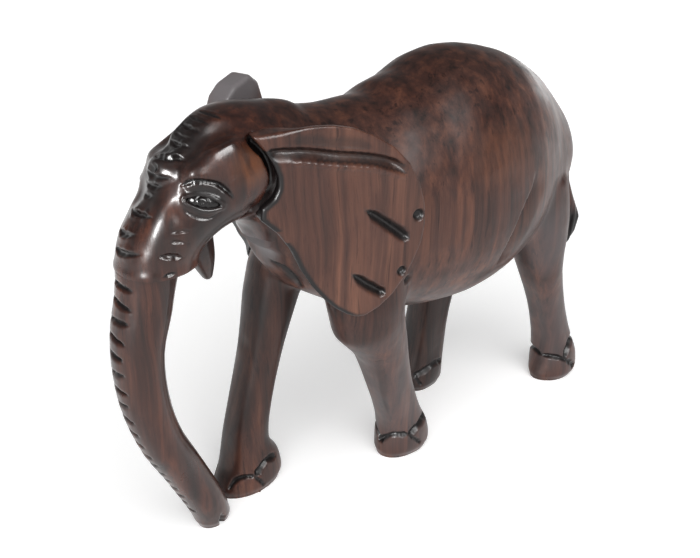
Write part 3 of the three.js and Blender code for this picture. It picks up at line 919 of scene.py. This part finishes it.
def wood(name, colours, roughness, coat, stripes=1.0):
    """Polished hardwood with upright grain, dark growth lines and pores. Carved cuts are stained black.

    The colours are the grain's dark, middle and light bands, and stripes is how dark its growth lines are.
    """
    dark, mid, light = colours
    material = bpy.data.materials.new(name)
    material.use_nodes = True
    tree = material.node_tree
    tree.nodes.clear()
    add, join = link_nodes(tree)

    def noise(vector, scale, detail, rough=0.55, distort=0.0):
        numbers = {"Scale": scale, "Detail": detail, "Roughness": rough, "Distortion": distort}
        node = add("ShaderNodeTexNoise", numbers)
        join(vector, node.inputs["Vector"])
        return node.outputs["Fac"]

    def stretched(scale, shift=(0, 0, 0)):
        node = add("ShaderNodeMapping", {"Scale": scale, "Location": shift})
        join(bent, node.inputs["Vector"])
        return node.outputs["Vector"]

    def spread(value, low, high, to_low=0.0, to_high=1.0):
        numbers = {"From Min": low, "From Max": high, "To Min": to_low, "To Max": to_high}
        node = add("ShaderNodeMapRange", numbers, interpolation_type="SMOOTHSTEP")
        join(value, node.inputs["Value"])
        return node.outputs["Result"]

    def blend(factor, colour, other, mode="MIX"):
        node = add("ShaderNodeMix", data_type="RGBA", blend_type=mode)
        one, two = [s for s in node.inputs if s.type == "RGBA"]
        join(factor, node.inputs["Factor"])
        join(colour, one)
        two.default_value = (*other, 1)
        return [s for s in node.outputs if s.type == "RGBA"][0]

    def maths(operation, a, b):
        node = add("ShaderNodeMath", operation=operation)
        join(a, node.inputs[0])
        if isinstance(b, float):
            node.inputs[1].default_value = b
        else:
            join(b, node.inputs[1])
        return node.outputs["Value"]

    def painted(name):
        return add("ShaderNodeAttribute", attribute_type="GEOMETRY", attribute_name=name).outputs["Fac"]

    def bump(height, strength, distance):
        node = add("ShaderNodeBump", {"Strength": strength, "Distance": distance})
        join(height, node.inputs["Height"])
        return node

    place = add("ShaderNodeTexCoord").outputs["Object"]
    # The grain wanders a few millimetres on its way up.
    drift = add("ShaderNodeTexNoise", {"Scale": 22, "Detail": 2})
    join(place, drift.inputs["Vector"])
    centred = add("ShaderNodeVectorMath", {1: (0.5, 0.5, 0.5)}, operation="SUBTRACT")
    join(drift.outputs["Color"], centred.inputs[0])
    small = add("ShaderNodeVectorMath", {"Scale": 0.006}, operation="SCALE")
    join(centred.outputs["Vector"], small.inputs[0])
    moved = add("ShaderNodeVectorMath", operation="ADD")
    join(place, moved.inputs[0])
    join(small.outputs["Vector"], moved.inputs[1])
    bent = moved.outputs["Vector"]

    bands = noise(stretched((210, 210, 8)), 1.0, 6, 0.66, 0.25)
    streaks = noise(stretched((900, 900, 28), shift=(7, 3, 1)), 1.0, 4, 0.6)
    lines = noise(stretched((430, 430, 9), shift=(2, 9, 4)), 1.0, 4, 0.6)
    pores = noise(stretched((2600, 2600, 190)), 1.0, 2, 0.5)
    patches = noise(place, 26, 3, 0.5)

    ramp = add("ShaderNodeValToRGB")
    stops = ramp.color_ramp.elements
    stops[0].position, stops[0].color = 0.30, (*dark, 1)
    stops[1].position, stops[1].color = 0.72, (*light, 1)
    middle = stops.new(0.50)
    middle.color = (*mid, 1)
    join(bands, ramp.inputs["Fac"])
    colour = ramp.outputs["Color"]
    colour = blend(spread(streaks, 0.35, 0.7, 0.0, 0.55), colour, (0.86, 0.80, 0.78), "MULTIPLY")
    colour = blend(spread(lines, 0.57, 0.67, 0.0, 0.85 * stripes), colour, (0.33, 0.28, 0.28), "MULTIPLY")
    colour = blend(spread(pores, 0.62, 0.70, 0.0, 0.45), colour, (0.45, 0.4, 0.4), "MULTIPLY")
    colour = blend(spread(patches, 0.42, 0.68, 0.0, 0.5), colour, (0.50, 0.42, 0.44), "MULTIPLY")
    glow = maths("MULTIPLY", painted("warm"), spread(bands, 0.35, 0.6, 0.35, 1.0))
    colour = blend(glow, colour, WARM_COLOUR)
    # Painted sheen: a grey reflection of the pale floor and room is painted into the colour.
    colour = blend(painted("painted_sheen"), colour, PAINTED_SHEEN_COLOUR)
    stain = painted("stain")
    colour = blend(stain, colour, STAIN_COLOUR)

    worn = spread(noise(place, 70, 4), 0.3, 0.75, roughness - 0.05, roughness + 0.09)
    worn = maths("ADD", worn, maths("MULTIPLY", streaks, 0.05))
    worn = maths("ADD", worn, maths("MULTIPLY", stain, 0.03))

    height = maths("ADD", maths("MULTIPLY", streaks, 0.5), maths("MULTIPLY", pores, -0.25))
    grain_bump = bump(height, 0.16, 0.00025)
    hand_bump = bump(noise(place, 90, 2), 0.5, 0.0005)
    join(grain_bump.outputs["Normal"], hand_bump.inputs["Normal"])

    gloss = {"Coat Weight": coat, "Coat Roughness": 0.15, "Coat IOR": 1.4, "IOR": 1.4}
    shader = add("ShaderNodeBsdfPrincipled", gloss)
    join(colour, shader.inputs["Base Color"])
    join(worn, shader.inputs["Roughness"])
    join(hand_bump.outputs["Normal"], shader.inputs["Normal"])
    output = add("ShaderNodeOutputMaterial")
    join(shader.outputs["BSDF"], output.inputs["Surface"])
    return material


BODY_BANDS = ((0.014, 0.0060, 0.0045), (0.058, 0.0210, 0.0140), (0.140, 0.052, 0.0290))
FACE_BANDS = ((0.012, 0.0055, 0.0045), (0.046, 0.0160, 0.0110), (0.120, 0.039, 0.0210))
EAR_BANDS = ((0.022, 0.0105, 0.0080), (0.090, 0.0350, 0.0225), (0.170, 0.070, 0.0410))
BLACK_BANDS = ((0.004, 0.0035, 0.0035), (0.006, 0.0045, 0.0045), (0.010, 0.0070, 0.0065))

WOODS = {
    "body_wood": wood("dark_hardwood", BODY_BANDS, roughness=0.38, coat=0.10),
    "face_wood": wood("face_hardwood", FACE_BANDS, roughness=0.28, coat=0.35, stripes=0.7),
    "ear_wood": wood("ear_hardwood", EAR_BANDS, roughness=0.36, coat=0.12),
    "leg_wood": wood("leg_hardwood", BODY_BANDS, roughness=0.38, coat=0.10),
    "eye_wood": wood("blackened_eye_wood", BLACK_BANDS, roughness=0.24, coat=0.3),
}


# ---- Camera, floor and light


def camera():
    """The view from the elephant's left front, from above and close by."""
    turn, tilt, distance = math.radians(-40.38), math.radians(27), 0.32145
    target = Vector((-0.02012, 0, 0.07407))
    back = Vector((math.sin(turn) * math.cos(tilt), -math.cos(turn) * math.cos(tilt), math.sin(tilt)))
    data = bpy.data.cameras.new("camera")
    data.sensor_width = 36
    data.lens = 46.286
    data.clip_start, data.clip_end = 0.01, 50
    obj = in_scene("camera", data)
    obj.location = target + back * distance
    obj.rotation_mode = "QUATERNION"
    obj.rotation_quaternion = (-back).to_track_quat("-Z", "Y")
    bpy.context.scene.camera = obj


def floor():
    """A pale floor, 8 metres square, that glows faintly so that it stays white."""
    mesh = bpy.data.meshes.new("floor")
    half = 4.0
    corners = [(-half, -half, 0), (half, -half, 0), (half, half, 0), (-half, half, 0)]
    mesh.from_pydata(corners, [], [(0, 1, 2, 3)])
    material = bpy.data.materials.new("pale_floor")
    material.use_nodes = True
    shader = material.node_tree.nodes["Principled BSDF"]
    shader.inputs["Base Color"].default_value = (0.90, 0.90, 0.90, 1)
    shader.inputs["Roughness"].default_value = 0.9
    shader.inputs["Emission Color"].default_value = (1, 1, 1, 1)
    shader.inputs["Emission Strength"].default_value = 0.34
    mesh.materials.append(material)
    obj = in_scene("floor", mesh)


def softbox(name, direction, distance, size, power, diffuse=True):
    """A rectangular lamp that faces the elephant. Without diffuse, only its reflections show."""
    centre = Vector((-0.02, 0, 0.08))
    way = Vector(direction).normalized()
    data = bpy.data.lights.new(name, "AREA")
    data.shape = "RECTANGLE"
    data.size, data.size_y = size
    data.energy = power
    obj = in_scene(name, data)
    obj.location = centre + way * distance
    obj.rotation_mode = "QUATERNION"
    obj.rotation_quaternion = way.to_track_quat("Z", "Y")
    obj.visible_diffuse = diffuse


def surroundings():
    """A room with pale walls and a dim ceiling, a wide diffuse lamp above, and softboxes for the gloss."""
    world = bpy.data.worlds.new("room")
    world.use_nodes = True
    tree = world.node_tree
    tree.nodes.clear()
    add, join = link_nodes(tree)
    place = add("ShaderNodeTexCoord")
    split = add("ShaderNodeSeparateXYZ")
    join(place.outputs["Generated"], split.inputs["Vector"])
    numbers = {"From Min": 0.0, "From Max": 0.45, "To Min": 0.55, "To Max": 0.17}
    shade = add("ShaderNodeMapRange", numbers, interpolation_type="SMOOTHSTEP")
    join(split.outputs["Z"], shade.inputs["Value"])
    light = add("ShaderNodeBackground", {"Color": (1, 1, 1, 1)})
    join(shade.outputs["Result"], light.inputs["Strength"])
    output = add("ShaderNodeOutputWorld")
    join(light.outputs["Background"], output.inputs["Surface"])
    bpy.context.scene.world = world
    ceiling = bpy.data.lights.new("ceiling_light", "SUN")
    ceiling.energy = 2.9
    ceiling.angle = math.radians(70)
    obj = in_scene("ceiling_light", ceiling)
    obj.rotation_mode = "QUATERNION"
    obj.rotation_quaternion = Vector((-0.35, -0.60, 0.75)).to_track_quat("Z", "Y")
    obj.visible_glossy = False
    softbox("key_softbox", (-0.08, -0.82, 0.62), 0.9, (0.28, 0.44), 8.0, diffuse=False)
    softbox("left_softbox", (-0.93, -0.30, 0.34), 0.8, (0.14, 0.29), 9.5, diffuse=False)
    softbox("right_softbox", (0.95, 0.30, 0.06), 1.0, (0.4, 0.12), 0.6)


# ---- Making


def colour_body(clay):
    """Warm flanks; a painted grey sheen on the thighs, chest and left lower legs; darker right legs, partly
    painted shade; darker back and neck.
    """
    for side in (-1, 1):
        clay.tint((22, side * 30, 119), (24, 13, 16), warm=0.3)
        # Painted sheen: a grey reflection on each thigh.
        clay.tint((58, side * 24, 70), (20, 14, 30), painted_sheen=0.35)
    # Painted sheen on the chest.
    clay.tint((-59, -2, 101), (10, 10, 10), painted_sheen=0.8)
    y, z = clay.co[:, 1], clay.co[:, 2]
    # Painted sheen: the left lower legs are greyed, as with a reflection of the pale floor.
    grey = 0.24 * ease((75 - z) / 45) * ease((z + 4) / 24) * (y < 0)
    # The lower right side is darker: partly darker wood, partly painted shade.
    dark = 0.6 * ease((98 - z) / 35) * ease((y - 2) / 6)
    clay.painted_sheen = np.maximum(clay.painted_sheen, grey)
    clay.stain = np.maximum(clay.stain, dark)
    clay.tint((25, 0, 152), (62, 40, 24), stain=0.3)
    clay.tint((-42, 0, 142), (30, 26, 22), stain=0.3)


whole = whole_skin()
square_legs(whole)
shape_body(whole)
colour_body(whole)

point, to_body = NECK_SEAM
to_head = tuple(-v for v in to_body)
UP, DOWN = (0, 0, 1), (0, 0, -1)

torso = block(whole, "body_carving", [((0, 0, LEG_SEAM_Z), UP), (point, to_body)])
piece("body_carving", torso, "torso", "body_wood")

head = block(whole, "head_carving", [((0, 0, MUZZLE_SEAM_Z), UP), (point, to_head)], fine=True)
carve_head(head)
piece("head_carving", head, "head", "face_wood")

for node in LEG_NODES:
    low, high = (np.array(c) / TO_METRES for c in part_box(node))
    seams = [((0, 0, LEG_SEAM_Z), DOWN), ((0, 0, 0), UP)]
    leg = block(whole, node + "_carving", seams, centre=(low + high) / 2, fine=True)
    carve_leg(leg, node)
    piece(node + "_carving", leg, node, "leg_wood")

trunk = trunk_clay()
carve_trunk(trunk)
trunk = block(trunk, "trunk_carving", [((0, 0, MUZZLE_SEAM_Z), DOWN), ((0, 0, 0), UP)])
piece("trunk_carving", trunk, "trunk", "face_wood")

piece("lower_jaw_carving", jaw_clay(), "lower_jaw", "face_wood")

for side, node in ((-1, "left_ear"), (1, "right_ear")):
    ear = Clay(skin_over(node + "_skin", [shell_of(node, 0.1)], voxel=0.5, wear=9))
    carve_ear(ear, side)
    piece(node + "_carving", ear, node, "ear_wood")

piece("tail_carving", tail_clay(), "tail", "leg_wood")

for side, node in ((-1, "left_eye"), (1, "right_eye")):
    piece(node + "_carving", eye_clay(side), node, "eye_wood")

camera()
floor()
surroundings()
bpy.context.scene.view_settings.view_transform = "Standard"
